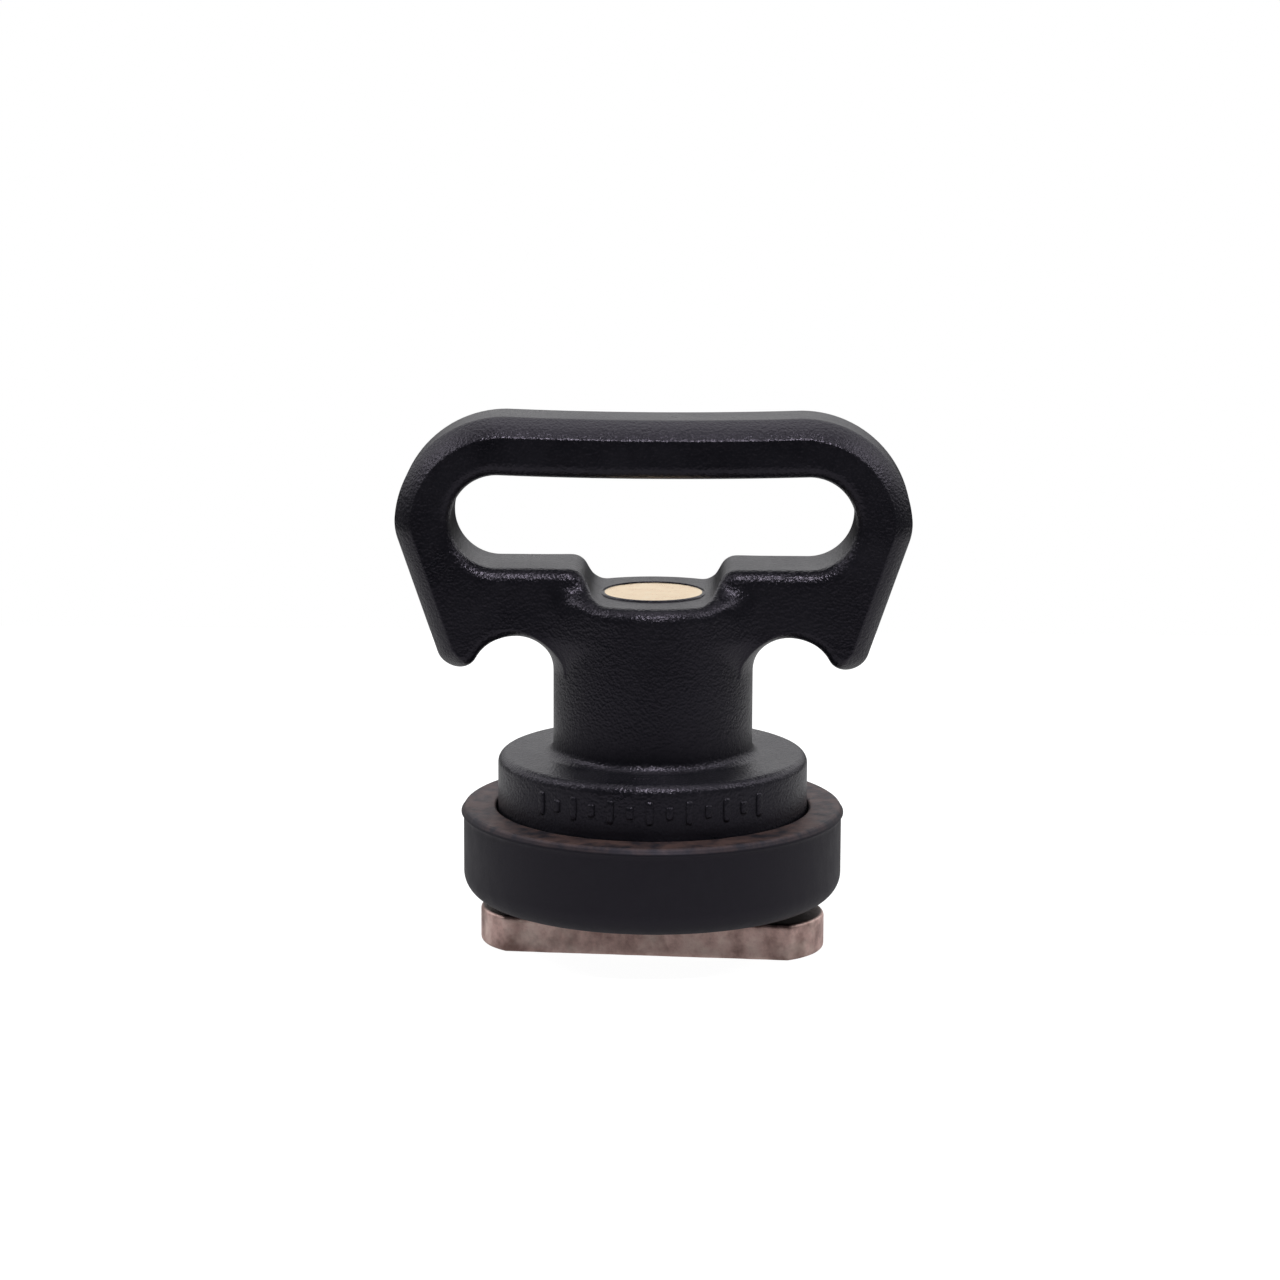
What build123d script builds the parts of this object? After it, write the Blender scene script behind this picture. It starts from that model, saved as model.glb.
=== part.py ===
"""Track-mounted tie-down anchor: a moulded handle nut, its brass insert, a rubber ring and a T-bolt.

Millimetres, +Z up. The origin is on the screw axis, in the plane of the ring's underside, where the
anchor sits on its track. The strap loop lies in the XZ plane and -Y is the front.
"""

import os
from math import acos, atan2, cos, degrees, hypot, radians, sin

from build123d import *

# ---- rubber ring ----
RING_RADIUS = 17.8
RING_HEIGHT = 8.5
RING_RECESS_RADIUS = 14.8
RING_RECESS_DEPTH = 3.5
RING_HOLE_RADIUS = 3.6
RING_BOTTOM_ROUND = 2.2
RING_TOP_ROUND = 0.4
LIP_HEIGHT = 7.9
LIP_HALF_THICKNESS = 0.3
LIP_PROUD = 0.3

# ---- handle ----
FLANGE_RADIUS = 14.55
FLANGE_TOP = 13.55
FLANGE_EDGE_ROUND = 0.9
STEM_RADIUS = 9.35
STEM_FOOT_ROUND = 0.8
BOSS_TOP = 28.8
PLATE_THICKNESS = 9.6
OUTER_BEVEL_IN = 1.6
OUTER_BEVEL_DEPTH = 2.1
INNER_ROUND = 1.2
BOSS_RIM_ROUND = 1.2

LOOP_TOP = 45.6
LOOP_TOP_SAG = 0.25
CORNER_RADIUS = 10.25
CORNER_X = 13.75
SHOULDER_RADIUS = 5.0
ARM_LEAN = 19.1
ARM_X_AT_24 = 20.19
HOOK_RADIUS = 3.75
HOOK_CENTRE_Z = 21.4
TIP_X = 18.15
TIP_Z = 24.15

OPENING_HALF = 18.75
OPENING_TOP = 40.3
OPENING_TOP_SAG = 0.25
SHELF_TOP = 31.65
DIP_TOP_HALF = 6.75
DIP_FLOOR_HALF = 5.3
DIP_SHOULDER_ROUND = 1.6
DIP_FLOOR_ROUND = 1.7

# ---- raised marks on the flange's front ----
MARK_COUNT = 13
MARK_PITCH_ANGLE = 7.2
MARK_WIDTH = 0.7
MARK_DEPTH = 0.8
MARK_PROUD = 0.2
MARK_CENTRE_Z = 11.1
MARK_TALL = 2.3
MARK_SHORT = 1.3

# ---- brass insert ----
INSERT_RADIUS = 4.75
INSERT_GROOVE_DEPTH = 0.5
INSERT_GROOVE_LOW = 13.0
INSERT_GROOVE_HIGH = 14.6
INSERT_END_WALL = 2.4
INSERT_BORE_RADIUS = 3.17
MOUTH_CHAMFER = 0.6

# ---- T-bolt ----
HEAD_TOP = -1.55
HEAD_THICKNESS = 3.5
HEAD_LENGTH = 32.6
HEAD_WIDTH = 10.7
HEAD_FLAT_LENGTH = 26.8
HEAD_EDGE_ROUND = 0.4
SHANK_RADIUS = 3.2
SHANK_TOP = 0.6
STUD_RADIUS = 3.12
STUD_TOP = 24.0
STUD_TIP_CHAMFER = 0.5
TURN_AT_REST = -5.0

FLANGE_BOTTOM = RING_HEIGHT - RING_RECESS_DEPTH
HALF_PLATE = PLATE_THICKNESS / 2

# each hook's mouth is an arc that touches the stem's side and runs on into the round tip
HOOK_CENTRE = (STEM_RADIUS + HOOK_RADIUS, HOOK_CENTRE_Z)
TIP_CENTRE = (TIP_X, TIP_Z)
TIP_RADIUS = hypot(TIP_X - HOOK_CENTRE[0], TIP_Z - HOOK_CENTRE[1]) - HOOK_RADIUS
MEET_ANGLE = degrees(atan2(TIP_Z - HOOK_CENTRE[1], TIP_X - HOOK_CENTRE[0]))
HOOK_CROWN = HOOK_CENTRE_Z + HOOK_RADIUS

# two positions closer than this are the same place
SAME = 0.01


def turned(points):
    """A solid of revolution about Z from (radius, height) corners."""
    outline = Polyline(*[(r, 0, z) for r, z in points], close=True)
    return revolve(make_face(outline), Axis.Z)


def on_circle(centre, radius, angle):
    """The point of a circle in the XZ plane at an angle in degrees from +X."""
    return (centre[0] + radius * cos(radians(angle)), centre[1] + radius * sin(radians(angle)))


def arc(centre, radius, start, end):
    """An arc in the XZ plane between two angles in degrees."""
    middle = (start + end) / 2
    corners = [on_circle(centre, radius, a) for a in (start, middle, end)]
    return ThreePointArc(*[(x, 0, z) for x, z in corners])


def line(start, end):
    return Line((start[0], 0, start[1]), (end[0], 0, end[1]))


def mirrored_face(half, closing):
    """A face in the XZ plane from the right half's edges, their mirror image and the edges on the middle."""
    left = [mirror(edge, about=Plane.YZ) for edge in half]
    return make_face(Curve() + half + left + closing)


def outer_face():
    """The handle's front outline over the hook tips: tip, arm, shoulder, corner and top."""
    # the shoulder's arc lies inside the corner's arc and touches the arm's straight edge
    corner_centre = (CORNER_X, LOOP_TOP - CORNER_RADIUS)
    normal = on_circle((0, 0), 1, -ARM_LEAN)
    arm_offset = ARM_X_AT_24 * normal[0] + 24 * normal[1]
    inside = arm_offset - SHOULDER_RADIUS - corner_centre[0] * normal[0] - corner_centre[1] * normal[1]
    turn = -ARM_LEAN + degrees(acos(inside / (CORNER_RADIUS - SHOULDER_RADIUS)))
    shoulder_centre = on_circle(corner_centre, CORNER_RADIUS - SHOULDER_RADIUS, turn)

    arm_low = on_circle(TIP_CENTRE, TIP_RADIUS, -ARM_LEAN)
    arm_high = on_circle(shoulder_centre, SHOULDER_RADIUS, -ARM_LEAN)
    half = [
        arc(TIP_CENTRE, TIP_RADIUS, -90, -ARM_LEAN),
        line(arm_low, arm_high),
        arc(shoulder_centre, SHOULDER_RADIUS, -ARM_LEAN, turn),
        arc(corner_centre, CORNER_RADIUS, turn, 90),
    ]
    tip_low = on_circle(TIP_CENTRE, TIP_RADIUS, -90)
    top = ThreePointArc(
        (-CORNER_X, 0, LOOP_TOP), (0, 0, LOOP_TOP - LOOP_TOP_SAG), (CORNER_X, 0, LOOP_TOP)
    )
    bottom = line((-tip_low[0], tip_low[1]), tip_low)
    return mirrored_face(half, [top, bottom])


def hook_gap_face():
    """What is cut from the plate under the arms: both hooks' mouths and the room for the neck."""
    tip_low = on_circle(TIP_CENTRE, TIP_RADIUS, -90)
    low = HOOK_CENTRE_Z - 2 * HOOK_RADIUS
    half = [
        line((0, HOOK_CROWN), (HOOK_CENTRE[0], HOOK_CROWN)),
        arc(HOOK_CENTRE, HOOK_RADIUS, 90, MEET_ANGLE),
        arc(TIP_CENTRE, TIP_RADIUS, 180 + MEET_ANGLE, 270),
        line(tip_low, (tip_low[0], low)),
        line((tip_low[0], low), (0, low)),
    ]
    return mirrored_face(half, [])


def opening_face():
    """The strap loop's clear opening: round ends, sagging top, and the dip over the insert."""
    end_radius = (OPENING_TOP - SHELF_TOP) / 2
    end_x = OPENING_HALF - end_radius
    middle = (SHELF_TOP + OPENING_TOP) / 2
    floor = FilletPolyline(
        (0, 0, BOSS_TOP),
        (DIP_FLOOR_HALF, 0, BOSS_TOP),
        (DIP_TOP_HALF, 0, SHELF_TOP),
        (end_x, 0, SHELF_TOP),
        radius=[DIP_FLOOR_ROUND, DIP_SHOULDER_ROUND],
    )
    half = [floor, arc((end_x, middle), end_radius, -90, 90)]
    top = ThreePointArc((-end_x, 0, OPENING_TOP), (0, 0, OPENING_TOP - OPENING_TOP_SAG), (end_x, 0, OPENING_TOP))
    return mirrored_face(half, [top])


def cylinder(radius, bottom, top):
    """A solid cylinder on the Z axis between two heights."""
    align = (Align.CENTER, Align.CENTER, Align.MIN)
    return Pos(0, 0, bottom) * Cylinder(radius, top - bottom, align=align)


def through(face):
    """A front outline carried right through the handle, to cut with."""
    return extrude(face, 2 * STEM_RADIUS, both=True)


def loop_plate():
    """The flat strap loop with its two hooks: outer edge sloped back, opening's edge rounded."""
    plate = extrude(outer_face(), HALF_PLATE, both=True)
    for order in (0, -1):
        face = plate.faces().sort_by(Axis.Y)[order]
        plate = chamfer(face.outer_wire().edges(), OUTER_BEVEL_IN, OUTER_BEVEL_DEPTH, reference=face)
    plate = plate - through(hook_gap_face()) - through(opening_face())

    opening_edges = [
        edge
        for edge in plate.edges()
        if abs(abs(edge.center().Y) - HALF_PLATE) < SAME
        and BOSS_TOP - SAME < edge.center().Z < OPENING_TOP + SAME
        and abs(edge.center().X) < OPENING_HALF + SAME
    ]
    return fillet(opening_edges, INNER_ROUND)


def stem():
    """The round stem, flat on top around the insert, with a rounded rim."""
    body = cylinder(STEM_RADIUS, FLANGE_BOTTOM, BOSS_TOP)
    return fillet(body.edges().group_by(Axis.Z)[-1], BOSS_RIM_ROUND)


def neck():
    """The stem's flare into the plate, which makes the inner half of each hook's arc."""
    outline = Curve() + [
        line((0, FLANGE_BOTTOM), (STEM_RADIUS, FLANGE_BOTTOM)),
        line((STEM_RADIUS, FLANGE_BOTTOM), (STEM_RADIUS, HOOK_CENTRE_Z)),
        arc(HOOK_CENTRE, HOOK_RADIUS, 180, 90),
        line((HOOK_CENTRE[0], HOOK_CROWN), (0, HOOK_CROWN)),
        line((0, HOOK_CROWN), (0, FLANGE_BOTTOM)),
    ]
    flare = revolve(make_face(outline), Axis.Z)
    return flare & Box(2 * HOOK_CENTRE[0], PLATE_THICKNESS, 2 * LOOP_TOP)


def marks():
    """A row of plain upright bars round the flange's front, every other one short."""
    bars = []
    for place in range(MARK_COUNT):
        height = MARK_TALL if place % 2 == 0 else MARK_SHORT
        bar = Box(MARK_WIDTH, MARK_DEPTH, height)
        bar = Pos(0, -(FLANGE_RADIUS + MARK_PROUD - MARK_DEPTH / 2), MARK_CENTRE_Z) * bar
        angle = (place - (MARK_COUNT - 1) / 2) * MARK_PITCH_ANGLE
        bars.append(Rot(0, 0, angle) * bar)
    return bars


def insert_body():
    """The insert's outside: a cylinder with the groove the moulding grips."""
    waist = INSERT_RADIUS - INSERT_GROOVE_DEPTH
    return turned(
        [
            (0, FLANGE_BOTTOM),
            (INSERT_RADIUS, FLANGE_BOTTOM),
            (INSERT_RADIUS, INSERT_GROOVE_LOW),
            (waist, INSERT_GROOVE_LOW),
            (waist, INSERT_GROOVE_HIGH),
            (INSERT_RADIUS, INSERT_GROOVE_HIGH),
            (INSERT_RADIUS, BOSS_TOP),
            (0, BOSS_TOP),
        ]
    )


def handle():
    """The moulded handle: strap loop, hooks, stem and flange in one piece, hollow for the insert."""
    flange = cylinder(FLANGE_RADIUS, FLANGE_BOTTOM, FLANGE_TOP)
    flange = fillet(flange.edges().group_by(Axis.Z)[-1], FLANGE_EDGE_ROUND)
    body = loop_plate() + neck() + stem() + flange
    foot = [
        edge
        for edge in body.edges()
        if abs(edge.center().Z - FLANGE_TOP) < SAME
        and hypot(edge.center().X, edge.center().Y) < STEM_RADIUS + SAME
    ]
    body = fillet(foot, STEM_FOOT_ROUND)
    return body + marks() - insert_body()


def threaded_insert():
    """The brass insert: blind from below, its closed end flush with the bottom of the dip."""
    bore_top = BOSS_TOP - INSERT_END_WALL
    bore = turned(
        [
            (0, FLANGE_BOTTOM),
            (INSERT_BORE_RADIUS + MOUTH_CHAMFER, FLANGE_BOTTOM),
            (INSERT_BORE_RADIUS, FLANGE_BOTTOM + MOUTH_CHAMFER),
            (INSERT_BORE_RADIUS, bore_top),
            (0, bore_top),
        ]
    )
    return insert_body() - bore


def rubber_ring():
    """The rubber ring: a cup for the flange, with a moulding lip near the rim and a rounded foot."""
    ring = turned(
        [
            (RING_HOLE_RADIUS, 0),
            (RING_RADIUS, 0),
            (RING_RADIUS, LIP_HEIGHT - LIP_HALF_THICKNESS),
            (RING_RADIUS + LIP_PROUD, LIP_HEIGHT),
            (RING_RADIUS, LIP_HEIGHT + LIP_HALF_THICKNESS),
            (RING_RADIUS - RING_TOP_ROUND, RING_HEIGHT),
            (RING_RECESS_RADIUS, RING_HEIGHT),
            (RING_RECESS_RADIUS, FLANGE_BOTTOM),
            (RING_HOLE_RADIUS, FLANGE_BOTTOM),
        ]
    )
    foot = ring.edges().group_by(Axis.Z)[0].sort_by(SortBy.RADIUS)[-1]
    return fillet([foot], RING_BOTTOM_ROUND)


def t_bolt():
    """The T-bolt: a flat head with bowed ends that slides in the track, and its upright stud."""
    corner_x = HEAD_FLAT_LENGTH / 2
    corner_y = HEAD_WIDTH / 2
    outline = Curve() + [
        Line((-corner_x, -corner_y), (corner_x, -corner_y)),
        ThreePointArc((corner_x, -corner_y), (HEAD_LENGTH / 2, 0), (corner_x, corner_y)),
        Line((corner_x, corner_y), (-corner_x, corner_y)),
        ThreePointArc((-corner_x, corner_y), (-HEAD_LENGTH / 2, 0), (-corner_x, -corner_y)),
    ]
    head = extrude(make_face(outline), HEAD_THICKNESS)
    head = fillet(head.edges(), HEAD_EDGE_ROUND)
    head = Pos(0, 0, HEAD_TOP - HEAD_THICKNESS) * Rot(0, 0, TURN_AT_REST) * head

    stud = turned(
        [
            (0, HEAD_TOP - HEAD_THICKNESS / 2),
            (SHANK_RADIUS, HEAD_TOP - HEAD_THICKNESS / 2),
            (SHANK_RADIUS, SHANK_TOP),
            (STUD_RADIUS, SHANK_TOP),
            (STUD_RADIUS, STUD_TOP - STUD_TIP_CHAMFER),
            (STUD_RADIUS - STUD_TIP_CHAMFER, STUD_TOP),
            (0, STUD_TOP),
        ]
    )
    return head + stud


NODES = {
    "handle": handle,
    "threaded_insert": threaded_insert,
    "rubber_ring": rubber_ring,
    "t_bolt": t_bolt,
}

os.makedirs("parts", exist_ok=True)
for name, make in NODES.items():
    solid = make()
    solid.label = name
    export_step(solid, f"parts/{name}.step")
    box = solid.bounding_box()
    print(f"{name}: {len(solid.solids())} solid, {solid.volume:.0f} mm3, {box.min.Z:.2f} to {box.max.Z:.2f} high")
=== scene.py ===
# %% [markdown]
# # A track-mounted tie-down anchor
#
# The object is a finger-turned nut with a strap loop on top: a black nylon handle moulded over a
# brass insert, a rubber ring that it presses on the track, and a cast T-bolt that goes into the
# track's slot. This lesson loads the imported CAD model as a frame, makes each piece again as a
# smooth numpy surface, and gives each one the finish of its real material.

import bmesh
import bpy
import numpy as np
from mathutils import Matrix, Vector


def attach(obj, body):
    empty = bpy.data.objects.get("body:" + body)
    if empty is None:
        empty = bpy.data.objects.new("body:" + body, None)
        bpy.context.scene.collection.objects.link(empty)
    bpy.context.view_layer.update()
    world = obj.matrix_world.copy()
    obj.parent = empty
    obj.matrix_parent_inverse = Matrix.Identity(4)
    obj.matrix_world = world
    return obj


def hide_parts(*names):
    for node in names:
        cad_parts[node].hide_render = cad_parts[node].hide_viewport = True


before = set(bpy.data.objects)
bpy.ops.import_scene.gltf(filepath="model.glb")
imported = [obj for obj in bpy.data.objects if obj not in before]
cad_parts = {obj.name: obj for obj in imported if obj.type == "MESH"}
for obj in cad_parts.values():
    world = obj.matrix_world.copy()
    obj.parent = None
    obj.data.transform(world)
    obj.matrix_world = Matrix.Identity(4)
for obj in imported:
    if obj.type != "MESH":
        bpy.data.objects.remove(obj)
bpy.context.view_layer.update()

# %% [markdown]
# ## Grids and pieces
#
# Every shape below is a sheet of points: rows and columns worked out as whole arrays. One helper
# joins neighbouring points with four-sided faces, another turns a finished list of points in
# millimetres into an object in metres, closes its seams and turns its faces outwards.

# %% Helpers for surfaces
MM = 0.001
WELD = 0.000003


def grid_faces(rows, columns, closed_rows=False, closed_columns=False, start=0):
    """Four-sided faces between neighbours of a rows by columns grid, round the end where it is closed."""
    r = np.arange(rows if closed_rows else rows - 1)
    c = np.arange(columns if closed_columns else columns - 1)
    r, c = np.meshgrid(r, c, indexing="ij")
    down, right = (r + 1) % rows, (c + 1) % columns
    corners = [r * columns + c, r * columns + right, down * columns + right, down * columns + c]
    return np.stack(corners, -1).reshape(-1, 4) + start


def join(sheets):
    """Several (points, faces) sheets as one list of points and one of faces."""
    points = np.concatenate([p.reshape(-1, 3) for p, _ in sheets])
    starts = np.cumsum([0] + [p.size // 3 for p, _ in sheets[:-1]])
    faces = np.concatenate([f + s for (_, f), s in zip(sheets, starts)])
    return points, faces


def new_piece(name, points, faces, body, replaces=(), slot=None):
    """An object from points in millimetres: doubles merged, faces outwards, smooth, riding on a body."""
    mesh = bpy.data.meshes.new(name)
    mesh.from_pydata((points.reshape(-1, 3) * MM).tolist(), [], faces.tolist())
    work = bmesh.new()
    work.from_mesh(mesh)
    bmesh.ops.remove_doubles(work, verts=work.verts, dist=WELD)
    bmesh.ops.recalc_face_normals(work, faces=work.faces)
    for face in work.faces:
        face.smooth = True
    open_edges = sum(1 for edge in work.edges if len(edge.link_faces) != 2)
    volume = work.calc_volume() / MM**3
    triangles = sum(len(face.verts) - 2 for face in work.faces)
    work.to_mesh(mesh)
    work.free()
    obj = bpy.data.objects.new(name, mesh)
    bpy.context.scene.collection.objects.link(obj)
    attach(obj, body)
    if replaces:
        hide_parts(*replaces)
    print(f"{name}: {triangles} triangles, {volume:.0f} mm3, {open_edges} edges not shared by two faces")
    return obj


def turned_sheet(profile, angles, closed=False):
    """A profile of (radius, height) points turned about Z: (r sin a, -r cos a, z) for each angle a."""
    r, z = profile[:, 0][:, None], profile[:, 1][:, None]
    a = angles[None, :]
    points = np.stack([r * np.sin(a), -r * np.cos(a), z + 0 * a], -1)
    return points, grid_faces(len(profile), len(angles), closed_rows=closed, closed_columns=True)


def rounded_line(corners, radii, step=0.25, arc_steps=8):
    """A run of straight lines through the corners, each corner cut by a tangent arc of its radius."""
    corners = np.asarray(corners, float)
    pieces = [corners[:1]]
    for before, corner, after, radius in zip(corners, corners[1:], corners[2:], radii):
        u = (before - corner) / np.linalg.norm(before - corner)
        v = (after - corner) / np.linalg.norm(after - corner)
        half = np.arccos(np.clip(u @ v, -1, 1)) / 2
        if radius <= 0:
            pieces.append(corner[None])
            continue
        centre = corner + (u + v) / np.linalg.norm(u + v) * radius / np.sin(half)
        first, last = corner + u * radius / np.tan(half), corner + v * radius / np.tan(half)
        t = np.linspace(0, 1, arc_steps + 1)[:, None]
        sweep = np.pi - 2 * half
        way = np.sin((1 - t) * sweep) * (first - centre) + np.sin(t * sweep) * (last - centre)
        pieces.append(centre + way / np.sin(sweep))
    pieces.append(corners[-1:])
    line = np.concatenate(pieces)
    filled = [line[:1]]
    for a, b in zip(line, line[1:]):
        count = max(1, int(np.ceil(np.linalg.norm(b - a) / step)))
        filled.append(a + (b - a) * (np.arange(1, count + 1) / count)[:, None])
    return np.concatenate(filled)


def smoothstep(low, high, value):
    """0 below low, 1 above high, and an S-curve 3t^2 - 2t^3 between."""
    t = np.clip((value - low) / (high - low), 0, 1)
    return t * t * (3 - 2 * t)


# %% [markdown]
# ## The handle's outlines
#
# Seen from the front the handle is a flat loop on a round stem. Two outlines shape it: the outer
# one runs from the stem up the hook's mouth, round the tip, up the leaning arm and over the loop;
# the inner one is the strap opening with the dip over the insert. Both are arcs and lines, so each
# is worked out here as points with an outward direction at every point, right half only. Points of
# the two outlines with the same number are joined later by a line across the plastic.

# %% Sizes of the outlines
STEM_RADIUS = 9.35
HALF_PLATE = 4.8
HOOK_CENTRE = np.array([13.1, 21.4])
HOOK_RADIUS = 3.75
TIP_CENTRE = np.array([18.15, 24.15])
TIP_RADIUS = np.hypot(*(TIP_CENTRE - HOOK_CENTRE)) - HOOK_RADIUS
CORNER_CENTRE = np.array([13.75, 35.35])
CORNER_RADIUS = 10.25
SHOULDER_RADIUS = 5.0
ARM_LEAN = np.radians(19.1)
ARM_X_AT_24 = 20.19
LOOP_TOP = 45.6
LOOP_TOP_SAG = 0.25

END_CENTRE = np.array([14.425, 35.975])
END_RADIUS = 4.325
OPENING_TOP = 40.3
SHELF_TOP = 31.65
BOSS_TOP = 28.74
DIP_FLOOR_HALF = 5.3
DIP_TOP_HALF = 6.75
DIP_FLOOR_ROUND, DIP_SHOULDER_ROUND = 1.7, 1.6
print("tip radius mm", round(TIP_RADIUS, 2))

# %% Arcs and lines with their facings


def unit(angle):
    """The (x, z) direction at an angle from +X, as an array of rows."""
    return np.stack([np.cos(angle), np.sin(angle)], -1)


def arc(centre, radius, start, end, count, facing=1):
    """Points round a circle in the XZ plane and the direction out of the plastic at each."""
    way = unit(np.linspace(start, end, count))
    return centre + radius * way, facing * way


def straight(start, end, facing, count):
    """Evenly spaced points on a line, all facing the same way."""
    t = np.linspace(0, 1, count)[:, None]
    return start + (end - start) * t, np.tile(facing, (count, 1))


# %% Outer outline
meet = np.arctan2(*(TIP_CENTRE - HOOK_CENTRE)[::-1])
lean = unit(-ARM_LEAN)
inside = np.array([ARM_X_AT_24, 24.0]) @ lean - SHOULDER_RADIUS - CORNER_CENTRE @ lean
turn = -ARM_LEAN + np.arccos(inside / (CORNER_RADIUS - SHOULDER_RADIUS))
shoulder_centre = CORNER_CENTRE + (CORNER_RADIUS - SHOULDER_RADIUS) * unit(turn)

COLUMNS = {"hook": 30, "tip": 20, "arm": 20, "shoulder": 12, "corner": 26, "top": 24}
top_x = np.linspace(CORNER_CENTRE[0], 0, COLUMNS["top"])
top_z = LOOP_TOP - LOOP_TOP_SAG * (1 - (top_x / CORNER_CENTRE[0]) ** 2)
arm_start = TIP_CENTRE + TIP_RADIUS * lean
arm_end = shoulder_centre + SHOULDER_RADIUS * lean
outer_runs = [
    arc(HOOK_CENTRE, HOOK_RADIUS, np.pi, meet, COLUMNS["hook"], -1),
    arc(TIP_CENTRE, TIP_RADIUS, np.pi + meet, 2 * np.pi - ARM_LEAN, COLUMNS["tip"]),
    straight(arm_start, arm_end, lean, COLUMNS["arm"]),
    arc(shoulder_centre, SHOULDER_RADIUS, -ARM_LEAN, turn, COLUMNS["shoulder"]),
    arc(CORNER_CENTRE, CORNER_RADIUS, turn, np.pi / 2, COLUMNS["corner"]),
    (np.stack([top_x, top_z], -1), np.tile([0.0, 1.0], (COLUMNS["top"], 1))),
]
outer = np.concatenate([points[(i > 0):] for i, (points, _) in enumerate(outer_runs)])
outer_facing = np.concatenate([facing[(i > 0):] for i, (_, facing) in enumerate(outer_runs)])
run_name = np.concatenate([[name] * (n - (i > 0)) for i, (name, n) in enumerate(COLUMNS.items())])
print("outer outline points", len(outer))

# %% Inner outline
FACING_REACH = 0.15

floor_line = rounded_line(
    [(0, BOSS_TOP), (DIP_FLOOR_HALF, BOSS_TOP), (DIP_TOP_HALF, SHELF_TOP), (END_CENTRE[0], SHELF_TOP)],
    [DIP_FLOOR_ROUND, DIP_SHOULDER_ROUND],
    step=0.05,
)
end_arc = arc(END_CENTRE, END_RADIUS, -np.pi / 2, np.pi / 2, 120)[0]
over_x = np.linspace(END_CENTRE[0], 0, 200)
over = np.stack([over_x, OPENING_TOP - LOOP_TOP_SAG * (1 - (over_x / END_CENTRE[0]) ** 2)], -1)
inner_line = np.concatenate([floor_line, end_arc[1:], over[1:]])
inner_length = np.concatenate([[0], np.cumsum(np.linalg.norm(np.diff(inner_line, axis=0), axis=1))])
print("opening half length mm", round(inner_length[-1], 1))


def inner_at(length):
    """Points of the opening's outline at distances along it from the dip's middle, and their facings."""
    place = np.stack([np.interp(length, inner_length, inner_line[:, k]) for k in (0, 1)], -1)
    on, back = length + FACING_REACH, length - FACING_REACH
    ahead = np.stack([np.interp(on, inner_length, inner_line[:, k]) for k in (0, 1)], -1)
    behind = np.stack([np.interp(back, inner_length, inner_line[:, k]) for k in (0, 1)], -1)
    along = ahead - behind
    along /= np.linalg.norm(along, axis=1)[:, None]
    return place, np.stack([-along[:, 1], along[:, 0]], -1)


# %% [markdown]
# ## The handle's thickness
#
# The loop is a plate 9.6 mm thick, and the stem is a round bar that swells out of it. The half
# thickness at a point of the front view is the larger of the two, with a soft fillet that grows from
# nothing at the neck. Above the stem's flat top the swelling fades to the plate, a little higher up
# over the insert than beside it, and more slowly at the sides than in the middle.

# %% Half the thickness
FILLET, FILLET_FROM, FILLET_FULL = 45.0, 21.6, 25.5
FADE_UP, FADE_LIFT, LIFT_FULL, LIFT_NONE = 0.5, 1.8, 4.4, 6.6
FADE_SOFT, FADE_SOFTER, SOFTER_FROM, SOFTER_FULL = 0.27, 0.4, 6.3, 8.8


def smooth_max(a, b, width):
    """The larger value, with a parabola across the crossing: max + (width - |a - b|)^2 / 4 width."""
    width = np.maximum(width, 1e-3)
    return np.maximum(a, b) + np.maximum(width - np.abs(a - b), 0) ** 2 / (4 * width)


def half_thickness(x, z):
    """Half the thickness at (x, z): H + (S - H) / (1 + e^((z - c) / s)), for plate H and stem S."""
    fillet = FILLET * smoothstep(FILLET_FROM, FILLET_FULL, z)
    swell = np.sqrt(smooth_max(STEM_RADIUS**2 - x**2, HALF_PLATE**2, fillet)) - HALF_PLATE
    centre = BOSS_TOP + FADE_UP + FADE_LIFT * (1 - smoothstep(LIFT_FULL, LIFT_NONE, np.abs(x)))
    soft = FADE_SOFT + FADE_SOFTER * smoothstep(SOFTER_FROM, SOFTER_FULL, np.abs(x))
    return HALF_PLATE + swell / (1 + np.exp(np.clip((z - centre) / soft, -40, 40)))


# %% [markdown]
# ## Matching the two outlines
#
# Each outer point needs one on the opening to be joined to, or the grid would shear. The opening's
# outline is first run over the stem, then cut where each run of the outer outline should end, and
# each stretch gets as many points as its run has.

# %% Points of the opening
STEM_COLUMNS = 44
HOOK_BACK = 0.9
END_SHARES = {"tip": 0.14, "arm": 0.40, "shoulder": 0.56}

stem_edge_x = np.sqrt(STEM_RADIUS**2 - HALF_PLATE**2)
stem_end_length = np.interp(stem_edge_x, floor_line[:, 0], inner_length[: len(floor_line)])
stem_lengths = np.linspace(0, stem_end_length, STEM_COLUMNS)
shelf_end = inner_length[len(floor_line) - 1]
ends = {name: shelf_end + share * np.pi * END_RADIUS for name, share in END_SHARES.items()}
ends["hook"] = shelf_end - HOOK_BACK
ends["corner"] = shelf_end + np.pi * END_RADIUS
ends["top"] = inner_length[-1]
side_lengths, at = [], stem_end_length
for name, n in COLUMNS.items():
    run = np.linspace(at, ends[name], n)
    side_lengths.append(run[(name != "hook"):])
    at = ends[name]
side_lengths = np.concatenate(side_lengths)
print("columns over the stem and beside it", len(stem_lengths), len(side_lengths))

# %% [markdown]
# ## Faces and edges of the handle
#
# The loop's outer edge is a broad slope down to a narrow flat, the edges of the opening are rounded,
# and the neck between the hooks is round. Columns run round the loop and rows run across the plastic.
# The front and the back are one grid each, the outer edge is a third, and the open ring under the
# neck is closed later by a turned surface.

# %% Front and back faces
R_INNER = 1.3


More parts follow.
